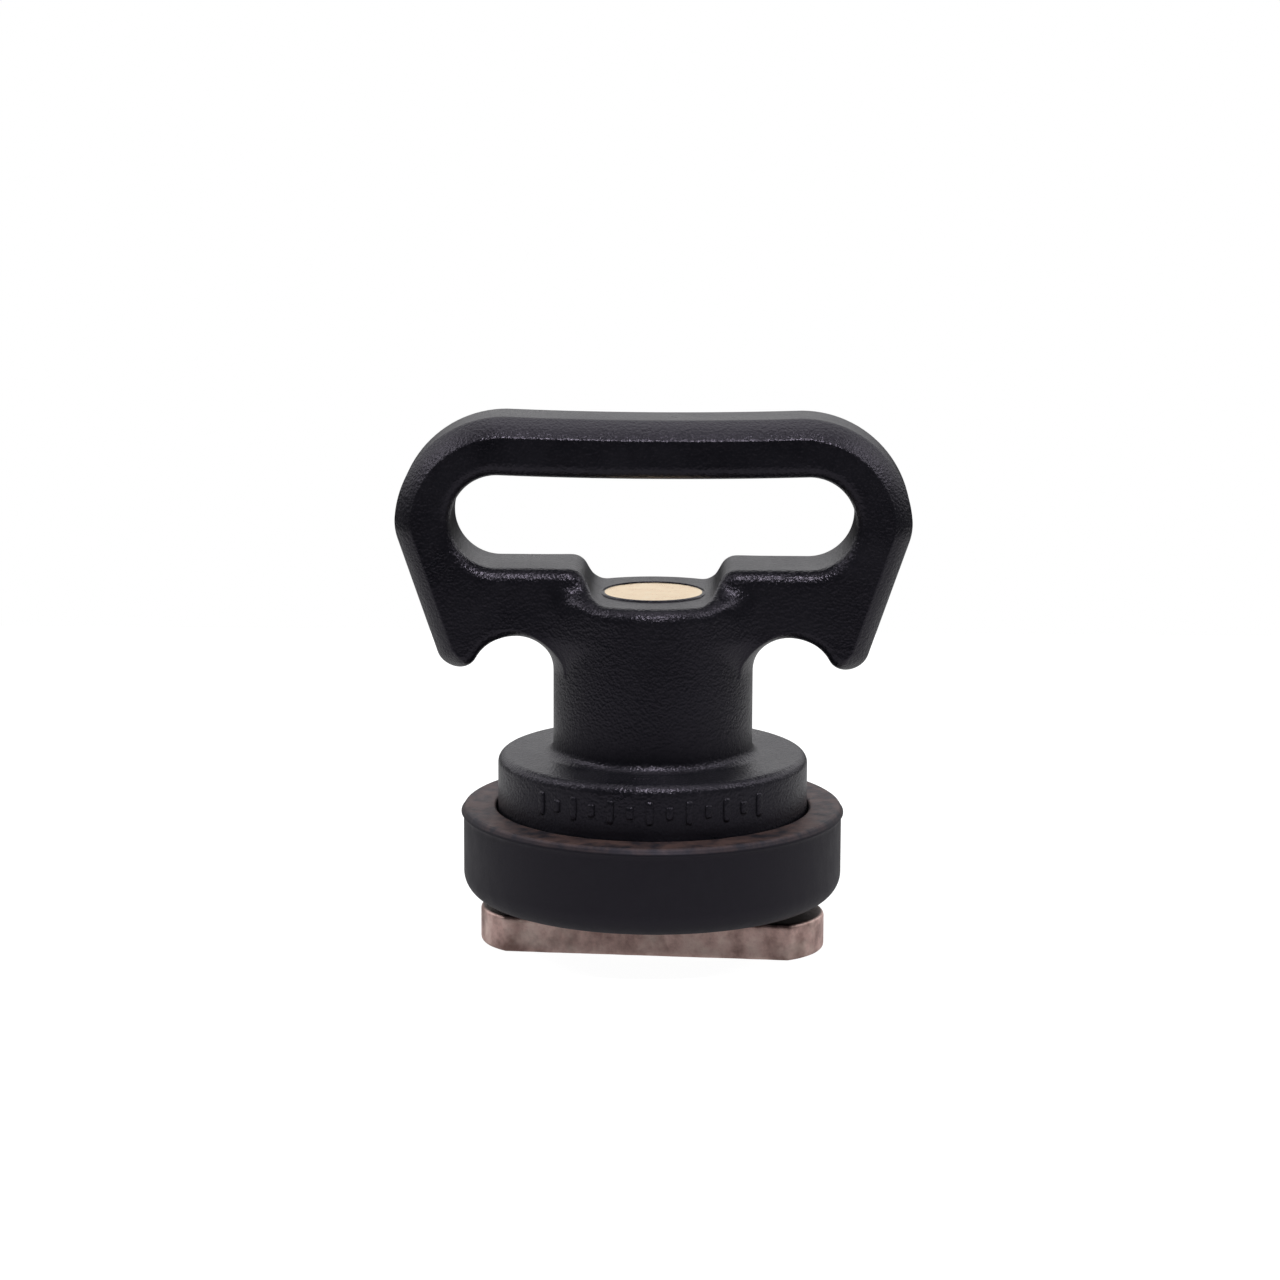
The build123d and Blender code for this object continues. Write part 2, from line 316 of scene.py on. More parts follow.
def front_rows(inner_points, inner_facing, finish, rows_in=4, rows_round=8, rows_face=56):
    """Rows from the middle of the opening's wall, round its edge and over the front face to finish.

    The wall stands at y = 0 to -(H - r); the rounded edge turns through a quarter circle of radius
    r from facing the opening to facing the front; the face runs in a straight line in the front
    view, and y = -H(x, z) all along it.
    """
    start = inner_points - inner_facing * R_INNER
    h = half_thickness(start[:, 0], start[:, 1])[:, None]
    t = np.linspace(0, 1, rows_in, endpoint=False)[None, :]
    wall = np.stack([inner_points[:, :1] + 0 * t, -(h - R_INNER) * t, inner_points[:, 1:] + 0 * t], -1)
    a = np.linspace(0, np.pi / 2, rows_round, endpoint=False)[None, :]
    inwards = R_INNER * (1 - np.cos(a))
    edge = np.stack(
        [
            inner_points[:, :1] - inner_facing[:, :1] * inwards,
            -(h - R_INNER + R_INNER * np.sin(a)),
            inner_points[:, 1:] - inner_facing[:, 1:] * inwards,
        ],
        -1,
    )
    t = np.linspace(0, 1, rows_face)[None, :]
    x = start[:, :1] + (finish[:, :1] - start[:, :1]) * t
    z = start[:, 1:] + (finish[:, 1:] - start[:, 1:]) * t
    face = np.stack([x, -half_thickness(x, z), z], -1)
    return np.concatenate([wall, edge, face], 1)


# %% Outer edges
BEVEL_IN, BEVEL_DEEP, BEVEL_CROWN = 1.65, 2.15, 0.10
MOUTH_ROUND = 1.0
NECK_Z = HOOK_CENTRE[1]
NECK_FROM, NECK_GONE = 0.12, 0.75
SLOPE_FROM, SLOPE_FULL = 0.05, 0.75


def edge_rows(points, facing, runs, rows_edge=12, rows_flat=5):
    """Rows from the front face to the middle of the outer edge, with where the face has to stop.

    Three edges are mixed along the outline: the round neck (x_b sin a, -x_b cos a), the mouth's
    quarter round, and the arm's slope, which falls in a nearly straight line. Each goes from the
    face to the flat, and the flat then crosses to the middle.
    """
    count = len(points)
    on_hook = runs == "hook"
    along_hook = np.clip(np.arange(count) / (COLUMNS["hook"] - 1), 0, 1)
    along_tip = np.clip((np.arange(count) - COLUMNS["hook"] + 1) / (COLUMNS["tip"] - 1), 0, 1)
    off_neck = np.where(on_hook, smoothstep(NECK_FROM, NECK_GONE, along_hook), 1.0)[:, None]
    sloped = smoothstep(SLOPE_FROM, SLOPE_FULL, along_tip)[:, None]

    # round neck, turned about the stem's axis
    x_b = points[:, :1]
    low = np.arccos(np.clip(HALF_PLATE / x_b, 0, 1))
    a = low + (np.pi / 2 - low) * np.linspace(0, 1, rows_edge)[None, :]
    neck = np.stack([x_b * np.sin(a), -x_b * np.cos(a), points[:, 1:] + 0 * a], -1)

    # quarter round of the mouth, and the slope with a little crown
    t = np.linspace(0, 1, rows_edge)[None, :]
    inwards = MOUTH_ROUND * (1 - np.sin(t * np.pi / 2))
    drop = MOUTH_ROUND * (1 - np.cos(t * np.pi / 2))
    crown = BEVEL_CROWN * np.sin(t * np.pi)
    inwards = inwards * (1 - sloped) + (BEVEL_IN * (1 - t) - crown) * sloped
    drop = drop * (1 - sloped) + (BEVEL_DEEP * t - crown) * sloped
    mouth = np.stack(
        [
            points[:, :1] - facing[:, :1] * inwards,
            -(HALF_PLATE - drop),
            points[:, 1:] - facing[:, 1:] * inwards,
        ],
        -1,
    )
    mixed = neck * (1 - off_neck[..., None]) + mouth * off_neck[..., None]
    finish = mixed[:, 0][:, [0, 2]]
    h = half_thickness(finish[:, 0], finish[:, 1])[:, None]
    mixed[..., 1] *= h / HALF_PLATE
    s = np.linspace(1, 0, rows_flat)[None, 1:]
    flat = np.stack(
        [mixed[:, -1:, 0] + 0 * s, mixed[:, -1:, 1] * s, mixed[:, -1:, 2] + 0 * s], -1
    )
    return np.concatenate([mixed, flat], 1), finish


def all_round(front):
    """The front rows joined to the same rows on the back, so that they run right through."""
    back = front[:, ::-1] * [1, -1, 1]
    return np.concatenate([front, back[:, 1:]], 1)


# %% Sheets of the loop
stem_points, stem_facing = inner_at(stem_lengths)
stem_finish = np.stack([stem_points[:, 0], np.full(len(stem_points), NECK_Z)], -1)
side_points, side_facing = inner_at(side_lengths)
edges, side_finish = edge_rows(outer, outer_facing, run_name)
side_front = front_rows(side_points, side_facing, side_finish)
stem_front = front_rows(stem_points, stem_facing, stem_finish)

# right side from the stem's middle up to the loop's top, then the mirrored left side back down
right = np.concatenate([stem_front, side_front[1:]])
loop_front = np.concatenate([right, right[-2:0:-1] * [-1, 1, 1]])
left_edges = edges[::-1] * [-1, 1, 1]
loop_edges = all_round(np.concatenate([edges, left_edges[1:]]))
sheets = []
for side in (1, -1):
    sheet = loop_front * [1, side, 1]
    sheets.append((sheet, grid_faces(*sheet.shape[:2], closed_rows=True)))
sheets.append((loop_edges, grid_faces(*loop_edges.shape[:2])))
print("columns and rows of a face", sheets[0][0].shape[:2], "and of the edge", loop_edges.shape[:2])

# %% [markdown]
# ## The stem, flange and pocket
#
# Below the hooks the handle is a lathe shape, so a profile is turned about the screw axis. Its
# angles are those of the neck's own points, so that both surfaces share one ring of points and
# weld into one closed skin. The profile goes on up inside, as the pocket the insert sits in. The
# moulding's skin also runs on over the pocket as a thin web, which the insert's end stands through.

# %% Angles of the neck
FLANGE_RADIUS, FLANGE_TOP, FLANGE_BOTTOM = 14.55, 13.55, 5.0
POCKET_RADIUS, POCKET_TOP = 4.75, 28.5
STEM_FOOT_ROUND, FLANGE_TOP_ROUND, FLANGE_FOOT_ROUND = 1.0, 0.95, 0.3
SAME_ANGLE = 1e-7

quarter = np.arctan2(stem_front[:, -1, 0], -stem_front[:, -1, 1])
side_ring = edges[0]
side_angles = np.arctan2(side_ring[:, 0], -side_ring[:, 1])
half_ring = np.concatenate([quarter, side_angles[1:]])
half_ring = half_ring[np.concatenate([[True], np.diff(half_ring) > SAME_ANGLE])]
right_ring = np.concatenate([half_ring, (np.pi - half_ring[::-1])[1:]])
ring_angles = np.concatenate([right_ring, (2 * np.pi - right_ring[::-1])[1:-1]])
print("angles round the neck", len(ring_angles))

# %% Turned part of the handle
handle_profile = rounded_line(
    [
        (STEM_RADIUS, NECK_Z),
        (STEM_RADIUS, FLANGE_TOP),
        (FLANGE_RADIUS, FLANGE_TOP),
        (FLANGE_RADIUS, FLANGE_BOTTOM),
        (POCKET_RADIUS, FLANGE_BOTTOM),
        (POCKET_RADIUS, POCKET_TOP),
        (0, POCKET_TOP),
    ],
    [STEM_FOOT_ROUND, FLANGE_TOP_ROUND, FLANGE_FOOT_ROUND, 0, 0],
    step=0.9,
    arc_steps=10,
)
sheets.append(turned_sheet(handle_profile, ring_angles))

# %% Rim round the insert's end
# a low rim, which leaves the brass disc a tenth of a millimetre deep
RIM_IN, RIM_OUT, RIM_BOTTOM, RIM_TOP = 4.74, 5.35, 28.55, 28.9
rim_profile = np.array(
    [
        (RIM_IN, RIM_BOTTOM),
        (RIM_IN, RIM_TOP - 0.03),
        (RIM_IN + 0.04, RIM_TOP),
        (RIM_IN + 0.2, RIM_TOP),
        (RIM_OUT - 0.29, RIM_TOP - 0.04),
        (RIM_OUT, RIM_BOTTOM + 0.11),
        (RIM_OUT, RIM_BOTTOM),
    ]
)
sheets.append(turned_sheet(rim_profile, ring_angles, closed=True))
handle = new_piece("handle_moulding", *join(sheets), "handle", ["handle"], "handle_nylon")

# %% [markdown]
# ## Raised marks
#
# A moulded part often carries raised figures on a front that the hand meets. Here they are plain
# upright bars, tall and short by turns, standing a fifth of a millimetre proud of the flange. Each
# one is a pillow: a ball whose cosines and sines are raised to a small power, which squares it up.

# %% Raised marks on the flange
MARKS = 13
MARK_PITCH = np.radians(7.2)
MARK_HALF = np.array([0.36, 0.42, 1.15])
MARK_SHORT = 0.56
MARK_CENTRE_Z = 11.0
MARK_PROUD = 0.2


def pillow(half, rows=13, columns=24, power=0.45):
    """A squared ball: each of cos and sin keeps its sign and is raised to a power, then scaled."""
    ups = np.linspace(-np.pi / 2, np.pi / 2, rows)
    rounds = np.linspace(0, 2 * np.pi, columns, endpoint=False)
    up, round_ = np.meshgrid(ups, rounds, indexing="ij")

    def squared(value):
        return np.sign(value) * np.abs(value) ** power

    x = squared(np.cos(up)) * squared(np.cos(round_))
    y = squared(np.cos(up)) * squared(np.sin(round_))
    return np.stack([x, y, squared(np.sin(up))], -1) * half


bars = []
for number in range(MARKS):
    bar = pillow(MARK_HALF * [1, 1, 1 if number % 2 == 0 else MARK_SHORT])
    angle = (number - (MARKS - 1) / 2) * MARK_PITCH
    out = FLANGE_RADIUS + MARK_PROUD - MARK_HALF[1] - bar[..., 1]
    across = angle + bar[..., 0] / FLANGE_RADIUS
    points = np.stack([out * np.sin(across), -out * np.cos(across), bar[..., 2] + MARK_CENTRE_Z], -1)
    bars.append((points, grid_faces(*points.shape[:2], closed_columns=True)))
marks = new_piece("handle_marks", *join(bars), "handle", ["handle"], "handle_nylon")

# %% [markdown]
# ## The brass insert
#
# A turned brass nut, blind at the top. Only its end shows, as a pale disc in the dip. The body, the
# groove that the nylon grips and the bore are hidden, and are there because the part needs them. It
# is a lathe profile.

# %% Brass insert
TURN = np.linspace(0, 2 * np.pi, 240, endpoint=False)
INSERT_RADIUS, INSERT_TOP = 4.73, 28.8
GROOVE_RADIUS, GROOVE_BOTTOM, GROOVE_TOP = 4.25, 13.0, 14.6
BORE_RADIUS, BORE_TOP, BORE_CHAMFER = 3.22, 26.4, 0.63
insert_profile = rounded_line(
    [
        (0, INSERT_TOP),
        (INSERT_RADIUS, INSERT_TOP),
        (INSERT_RADIUS, GROOVE_TOP),
        (GROOVE_RADIUS, GROOVE_TOP),
        (GROOVE_RADIUS, GROOVE_BOTTOM),
        (INSERT_RADIUS, GROOVE_BOTTOM),
        (INSERT_RADIUS, FLANGE_BOTTOM),
        (BORE_RADIUS + BORE_CHAMFER, FLANGE_BOTTOM),
        (BORE_RADIUS, FLANGE_BOTTOM + BORE_CHAMFER),
        (BORE_RADIUS, BORE_TOP),
        (0, BORE_TOP),
    ],
    [0.05, 0, 0, 0, 0, 0.1, 0, 0, 0],
    step=0.6,
    arc_steps=3,
)
insert = new_piece(
    "brass_insert", *turned_sheet(insert_profile, TURN), "handle", ["threaded_insert"], "insert_brass"
)

# %% [markdown]
# ## The rubber ring
#
# A moulded cup of black rubber with a deep rounded foot. Where the two halves of its mould met, near
# the top, a thin lip of rubber was pressed out and trimmed by hand, so the lip wanders a little. The
# profile is turned as on a lathe and the lip's reach changes with the angle.

# %% Rubber ring
RING_RADIUS, RING_HEIGHT = 17.8, 8.5
FOOT_IN, FOOT_UP = 2.2, 2.2
RECESS_RADIUS, RECESS_FLOOR, HOLE_RADIUS = 14.75, FLANGE_BOTTOM - 0.02, 3.6
LIP_Z, LIP_REACH, LIP_THICK = 7.9, 0.27, 0.32
LIP_WAVES = ((3, 0.4), (7, 2.1), (16, 5.0), (31, 1.3))
SIDE_ROWS = 34

foot = np.linspace(-np.pi / 2, 0, 16)
foot_line = np.stack([RING_RADIUS - FOOT_IN * (1 - np.cos(foot)), FOOT_UP * (1 + np.sin(foot))], -1)
side_z = np.linspace(FOOT_UP + 0.1, RING_HEIGHT - 0.24, SIDE_ROWS)
side_line = np.stack([np.full(SIDE_ROWS, RING_RADIUS), side_z], -1)
top_line = rounded_line(
    [
        (RING_RADIUS - 0.1, RING_HEIGHT - 0.1),
        (RING_RADIUS - 0.25, RING_HEIGHT),
        (RECESS_RADIUS, RING_HEIGHT),
        (RECESS_RADIUS, RECESS_FLOOR),
        (HOLE_RADIUS, RECESS_FLOOR),
        (HOLE_RADIUS, 0.0),
        (RING_RADIUS - FOOT_IN - 0.2, 0.0),
    ],
    [0.12, 0.3, 0, 0.2, 0.2],
    step=0.5,
    arc_steps=5,
)
ring_profile = np.concatenate([foot_line, side_line, top_line])
RING_TURN = np.linspace(0, 2 * np.pi, 360, endpoint=False)
ring_points, ring_faces = turned_sheet(ring_profile, RING_TURN, closed=True)

# the lip: a sharp ridge in height times a reach that wanders round the ring
wander = sum(np.sin(n * RING_TURN + p) / n for n, p in LIP_WAVES)
reach = np.clip(LIP_REACH * (0.82 + 0.22 * wander), 0.05, 0.3)
on_side = ring_profile[:, 0] > RING_RADIUS - 0.05
ridge = np.exp(-(((ring_profile[:, 1] - LIP_Z) / (LIP_THICK / 2)) ** 2)) * on_side
ring_points[..., :2] *= 1 + (ridge[:, None] * reach[None, :] / RING_RADIUS)[..., None]
ring = new_piece("rubber_cup", ring_points, ring_faces, "ring", ["rubber_ring"], "ring_rubber")

# %% [markdown]
# ## The T-bolt
#
# The head is a cast steel bar with flat sides and bowed ends, its edges softened by tumbling. Its
# outline is carried from the middle of the underside, out and round the edges, and back over the
# top. The stud is a true screw surface: its radius depends on height and angle together.

# %% T-bolt head
HEAD_TOP, HEAD_BOTTOM = -1.55, -5.05
HEAD_HALF_LENGTH, HEAD_HALF_WIDTH, FLAT_HALF = 16.3, 5.35, 13.4
HEAD_EDGE = 0.42
HEAD_TURN = np.radians(-5.0)
SPINE_HALF = 11.0
SKIN_DEPTH = 0.012
SKIN_WAVES = ((0.9, 0.5, 1.3, 0.2), (-0.6, 1.4, 0.8, 1.9), (1.7, -0.9, 2.1, 4.0), (2.6, 1.9, -1.5, 2.7))

# the end's arc rises from FLAT_HALF to HEAD_HALF_LENGTH over a chord as wide as the head
rise = HEAD_HALF_LENGTH - FLAT_HALF
bow = (HEAD_HALF_WIDTH**2 + rise**2) / (2 * rise)
bow_angle = np.arcsin(HEAD_HALF_WIDTH / bow)
end_way = unit(np.linspace(-bow_angle, bow_angle, 41))
end_points = np.array([HEAD_HALF_LENGTH - bow, 0]) + bow * end_way
flat_x = np.linspace(FLAT_HALF, -FLAT_HALF, 81)[1:-1]
flat_points = np.stack([flat_x, np.full(len(flat_x), HEAD_HALF_WIDTH)], -1)
half_outline = np.concatenate([end_points, flat_points])
head_outline = np.concatenate([half_outline, -half_outline])
ahead, behind = np.roll(head_outline, -1, 0), np.roll(head_outline, 1, 0)
head_facing = np.stack([(ahead - behind)[:, 1], -(ahead - behind)[:, 0]], -1)
head_facing /= np.linalg.norm(head_facing, axis=1)[:, None]
spine_x = np.clip(head_outline[:, 0], -SPINE_HALF, SPINE_HALF)
spine = np.stack([spine_x, 0 * spine_x], -1)
print("head outline points", len(head_outline), "bow radius mm", round(bow, 2))

# %% Rows over the head
inset, height = [], []
for a in np.linspace(0, np.pi / 2, 6):
    inset.append(HEAD_EDGE * (1 - np.sin(a)))
    height.append(HEAD_BOTTOM + HEAD_EDGE * (1 - np.cos(a)))
edge_up = list(zip(inset, height))
side_up = [(0.0, z) for z in np.linspace(HEAD_BOTTOM + HEAD_EDGE, HEAD_TOP - HEAD_EDGE, 10)[1:-1]]
edge_over = [(d, HEAD_TOP + HEAD_BOTTOM - z) for d, z in edge_up[::-1]]
rows = []
rim = head_outline - head_facing * HEAD_EDGE
for t in np.linspace(0, 1, 12, endpoint=False):
    rows.append(np.concatenate([spine + (rim - spine) * t, np.full((len(rim), 1), HEAD_BOTTOM)], 1))
for d, z in edge_up + side_up + edge_over:
    rows.append(np.concatenate([head_outline - head_facing * d, np.full((len(rim), 1), z)], 1))
for t in np.linspace(1, 0, 13)[1:]:
    rows.append(np.concatenate([spine + (rim - spine) * t, np.full((len(rim), 1), HEAD_TOP)], 1))
head_points = np.stack(rows)

# %% Cast skin of the head
# shallow hollows, up to a tenth of a millimetre deep, from four waves that cross at odd angles
skin = sum(
    np.sin(fx * head_points[..., 0] + fy * head_points[..., 1] + fz * head_points[..., 2] + p)
    for fx, fy, fz, p in SKIN_WAVES
)
hollow = SKIN_DEPTH * (skin - len(SKIN_WAVES))
head_points[..., 1] *= 1 + hollow / HEAD_HALF_WIDTH
turned_x = head_points[..., 0] * np.cos(HEAD_TURN) - head_points[..., 1] * np.sin(HEAD_TURN)
turned_y = head_points[..., 0] * np.sin(HEAD_TURN) + head_points[..., 1] * np.cos(HEAD_TURN)
head_points = np.stack([turned_x, turned_y, head_points[..., 2]], -1)
head_faces = grid_faces(*head_points.shape[:2], closed_columns=True)
head = new_piece("t_head", head_points, head_faces, "t_bolt", ["t_bolt"], "bolt_steel")

# %% T-bolt stud
PITCH, CREST, DEPTH = 1.27, 3.12, 0.62
CREST_SHARE, ROOT_SHARE = 0.125, 0.25
SHANK, SHANK_TOP, STUD_TOP, STUD_CHAMFER = 3.18, 0.6, 24.0, 0.55
STUD_SUNK, STUD_STEP = 0.3, 0.09

# the first and last rows are doubled, and shrink to the axis to close the stud
stud_bottom = HEAD_TOP - STUD_SUNK
between = np.arange(HEAD_TOP - 0.2, STUD_TOP, STUD_STEP)
stud_z = np.concatenate([[stud_bottom, stud_bottom], between, [STUD_TOP, STUD_TOP]])
stud_a = np.linspace(0, 2 * np.pi, 72, endpoint=False)
z_grid, a_grid = np.meshgrid(stud_z, stud_a, indexing="ij")
# height counted in pitches, less the turn: the ridge climbs to the right as the thread is right-hand
phase = (z_grid / PITCH - a_grid / (2 * np.pi)) % 1
ridge = np.clip((np.abs(2 * phase - 1) - ROOT_SHARE) / (1 - ROOT_SHARE - CREST_SHARE), 0, 1)
thread = CREST - DEPTH * (1 - ridge)
radius = SHANK + (thread - SHANK) * smoothstep(SHANK_TOP, SHANK_TOP + PITCH, z_grid)
radius = np.minimum(radius, CREST - STUD_CHAMFER + (STUD_TOP - z_grid))
radius[0], radius[-1] = 0, 0
stud_points = np.stack([radius * np.sin(a_grid), -radius * np.cos(a_grid), z_grid], -1)
stud_faces = grid_faces(*stud_points.shape[:2], closed_columns=True)
stud = new_piece("t_stud", stud_points, stud_faces, "t_bolt", ["t_bolt"], "bolt_steel")

# %% [markdown]
# ## Finishes
#
# Each finish starts from the real material: how it was made gives its roughness and its grain, and
# the grain's size in millimetres gives every pattern its scale. Patterns read Object coordinates,
# which are metres, so a feature of size d millimetres has a scale of 1000 / d.

# %% Helpers for materials


def colour(text):
    """An sRGB hex colour as linear light: c / 12.92 below 0.04045, else ((c + 0.055) / 1.055) ** 2.4."""
    c = np.array([int(text[i : i + 2], 16) for i in (1, 3, 5)]) / 255
    return (*np.where(c <= 0.04045, c / 12.92, ((c + 0.055) / 1.055) ** 2.4), 1.0)


def per_mm(size):
    """The scale of a pattern whose features are size millimetres across."""
    return 1000 / size


def add(made, kind, links=(), settings=(), stops=(), **values):
    """A node with its settings, its inputs' values by name, its links and a colour ramp's stops."""
    node = made.node_tree.nodes.new("ShaderNode" + kind)
    for key, value in dict(settings).items():
        setattr(node, key, value)
    for key, value in values.items():
        node.inputs[key.replace("_", " ")].default_value = value
    for key, socket in dict(links).items():
        made.node_tree.links.new(socket, node.inputs[key])
    for i, (place, text) in enumerate(stops):
        stop = node.color_ramp.elements[i] if i < 2 else node.color_ramp.elements.new(place)
        stop.position, stop.color = place, colour(text)
    return node


def feed(made, socket, target):
    """Links an output to an input of a node that is there already."""
    made.node_tree.links.new(socket, target)


def material(name):
    """An empty material, its shader and Object coordinates."""
    made = bpy.data.materials.new(name)
    made.use_nodes = True
    return made, made.node_tree.nodes["Principled BSDF"], add(made, "TexCoord").outputs["Object"]


# %% [markdown]
# ### Moulded nylon
#
# The handle is glass-filled nylon, moulded in a spark-eroded tool. The tool leaves fine pits all
# over, and the glass dulls the shine in patches. Real pits are a tenth of a millimetre across or
# less, too fine to show, so they are drawn several times as coarse. They break up the highlights
# along the rounded edges.

# %% Black nylon
nylon, shader, place = material("black glass-filled nylon, moulded")
pits = add(nylon, "TexNoise", {"Vector": place}, Scale=per_mm(0.36), Detail=3.0, Roughness=0.62)
fine = add(nylon, "TexVoronoi", {"Vector": place}, Scale=per_mm(0.26))
patches = add(nylon, "TexNoise", {"Vector": place}, Scale=per_mm(6.0), Detail=4.0, Roughness=0.6)
patch = patches.outputs["Fac"]
black = add(nylon, "ValToRGB", {"Fac": patch}, stops=[(0.3, "#121217"), (0.72, "#1a1a1f")])
dull = add(nylon, "MapRange", {"Value": patch}, From_Min=0.3, From_Max=0.7, To_Min=0.26, To_Max=0.38)
grain = add(nylon, "Bump", {"Height": pits.outputs["Fac"]}, Strength=0.8, Distance=0.08 * MM)
both = {"Height": fine.outputs["Distance"], "Normal": grain.outputs["Normal"]}
pitted = add(nylon, "Bump", both, Strength=0.7, Distance=0.05 * MM)
feed(nylon, black.outputs["Color"], shader.inputs["Base Color"])
feed(nylon, dull.outputs["Result"], shader.inputs["Roughness"])
feed(nylon, pitted.outputs["Normal"], shader.inputs["Normal"])
shader.inputs["IOR"].default_value = 1.5
shader.inputs["Specular Tint"].default_value = colour("#ddd3e9")

# %% [markdown]
# ### Brass
#
# The insert's end was faced on a lathe and has dulled to a pale straw colour. It keeps faint rings,
# drawn a fifth of a millimetre apart so that they can show, and a few dark specks. A dark line round
# its edge is painted shade, for the shadow in the narrow gap between brass and nylon.

# %% Turned brass
brass, shader, place = material("turned brass, dulled")
parts = add(brass, "SeparateXYZ", {"Vector": place})
flat_place = add(brass, "CombineXYZ", {"X": parts.outputs["X"], "Y": parts.outputs["Y"]})
length = add(brass, "VectorMath", {0: flat_place.outputs["Vector"]}, {"operation": "LENGTH"})
from_axis = length.outputs["Value"]
rings = add(brass, "TexNoise", {"W": from_axis}, {"noise_dimensions": "1D"}, Scale=per_mm(0.22))
stains = add(brass, "TexNoise", {"Vector": place}, Scale=per_mm(1.6), Detail=5.0, Roughness=0.65)
stain = stains.outputs["Fac"]
specks = add(brass, "TexNoise", {"Vector": place}, Scale=per_mm(0.55), Detail=2.0)
straw = add(
    brass, "ValToRGB", {"Fac": stain}, stops=[(0.3, "#fadbb2"), (0.55, "#ffe7c3"), (0.75, "#ffefd3")]
)
speck = add(
    brass,
    "MapRange",
    {"Value": specks.outputs["Fac"]},
    From_Min=0.70,
    From_Max=0.78,
    To_Min=0.0,
    To_Max=0.8,
)
spotted = add(
    brass,
    "MixRGB",
    {"Color1": straw.outputs["Color"], "Fac": speck.outputs["Result"]},
    {"blend_type": "MULTIPLY"},
    Color2=colour("#8a6a48"),
)
# painted shade: a dark band round the disc's edge for the shadow in the gap to the nylon
painted_gap_shade = add(
    brass,
    "MapRange",
    {"Value": from_axis},
    From_Min=4.52 * MM,
    From_Max=4.59 * MM,
    To_Min=0.0,
    To_Max=1.0,
)
gap_shaded = add(
    brass,
    "MixRGB",
    {"Color1": spotted.outputs["Color"], "Fac": painted_gap_shade.outputs["Result"]},
    Color2=colour("#1a1613"),
)
dull = add(brass, "MapRange", {"Value": stain}, From_Min=0.3, From_Max=0.7, To_Min=0.24, To_Max=0.36)
turned = add(brass, "Bump", {"Height": rings.outputs["Fac"]}, Strength=0.2, Distance=0.02 * MM)
feed(brass, gap_shaded.outputs["Color"], shader.inputs["Base Color"])
feed(brass, dull.outputs["Result"], shader.inputs["Roughness"])
feed(brass, turned.outputs["Normal"], shader.inputs["Normal"])
shader.inputs["Metallic"].default_value = 1.0

# %% [markdown]
# ### Rubber
#
# The ring is soft black rubber. Its side was pressed against smooth steel and is a dull black with
# faint upright scuffs. Rubber holds on to brown dust, and the faces that look up have caught it. Its
# grit is drawn a third of a millimetre across, coarser than it is, so that it shows.

# %% Moulded rubber
rubber, shader, place = material("black rubber, moulded and dusty")
facing = add(rubber, "NewGeometry").outputs["Normal"]
up = add(rubber, "SeparateXYZ", {"Vector": facing}).outputs["Z"]
dusty = add(rubber, "TexNoise", {"Vector": place}, Scale=per_mm(2.2), Detail=6.0, Roughness=0.68)
grit = add(rubber, "TexNoise", {"Vector": place}, Scale=per_mm(0.35), Detail=3.0, Roughness=0.6)
tall = add(rubber, "Mapping", {"Vector": place}, Scale=(1.0, 1.0, 0.55)).outputs["Vector"]
scuffs = add(rubber, "TexNoise", {"Vector": tall}, Scale=per_mm(1.1), Detail=4.0, Roughness=0.6)
scuff = scuffs.outputs["Fac"]
black = add(rubber, "ValToRGB", {"Fac": scuff}, stops=[(0.35, "#0a0a0e"), (0.7, "#121216")])
dust = add(
    rubber,
    "MapRange",
    {"Value": dusty.outputs["Fac"]},
    From_Min=0.38,
    From_Max=0.60,
    To_Min=0.15,
    To_Max=1.0,
)
on_top = add(rubber, "Math", {0: up, 1: dust.outputs["Result"]}, {"operation": "MULTIPLY"})
cover = add(
    rubber,
    "MapRange",
    {"Value": on_top.outputs["Value"]},
    From_Min=0.15,
    From_Max=0.9,
    To_Min=0.0,
    To_Max=0.85,
)
dusted = add(
    rubber,
    "MixRGB",
    {"Color1": black.outputs["Color"], "Fac": cover.outputs["Result"]},
    Color2=colour("#4e3b35"),
)
dull = add(rubber, "MapRange", {"Value": scuff}, From_Min=0.3, From_Max=0.7, To_Min=0.52, To_Max=0.62)
rough_skin = add(rubber, "Bump", {"Height": grit.outputs["Fac"]}, Strength=0.4, Distance=0.03 * MM)
feed(rubber, dusted.outputs["Color"], shader.inputs["Base Color"])
feed(rubber, dull.outputs["Result"], shader.inputs["Roughness"])
feed(rubber, rough_skin.outputs["Normal"], shader.inputs["Normal"])
shader.inputs["IOR"].default_value = 1.5
shader.inputs["Specular Tint"].default_value = colour("#f1e7ff")

# %% [markdown]
# ### Cast steel
#
# The T-bolt is cast stainless steel, tumbled and left warm grey. Its skin is finely rough and patchy
# in tone, grime darkens it in places, and its upper faces carry painted shade for the ring's shadow.

# %% Cast stainless steel
steel, shader, place = material("stainless steel, cast and tumbled")
blotches = add(steel, "TexNoise", {"Vector": place}, Scale=per_mm(3.0), Detail=6.0, Roughness=0.65)
blotch = blotches.outputs["Fac"]
grime = add(steel, "TexNoise", {"Vector": place}, Scale=per_mm(7.0), Detail=4.0, Roughness=0.6)
sand = add(steel, "TexNoise", {"Vector": place}, Scale=per_mm(0.28), Detail=3.0, Roughness=0.7)
grey = add(
    steel, "ValToRGB", {"Fac": blotch}, stops=[(0.34, "#b0908a"), (0.5, "#e4c3bc"), (0.66, "#ffe7de")]
)
stain = add(
    steel,
    "MapRange",
    {"Value": grime.outputs["Fac"]},
    From_Min=0.46,
    From_Max=0.62,
    To_Min=0.0,
    To_Max=0.7,
)
dirty = add(
    steel,
    "MixRGB",
    {"Color1": grey.outputs["Color"], "Fac": stain.outputs["Result"]},
    {"blend_type": "MULTIPLY"},
    Color2=colour("#6a5048"),
)
facing = add(steel, "NewGeometry").outputs["Normal"]
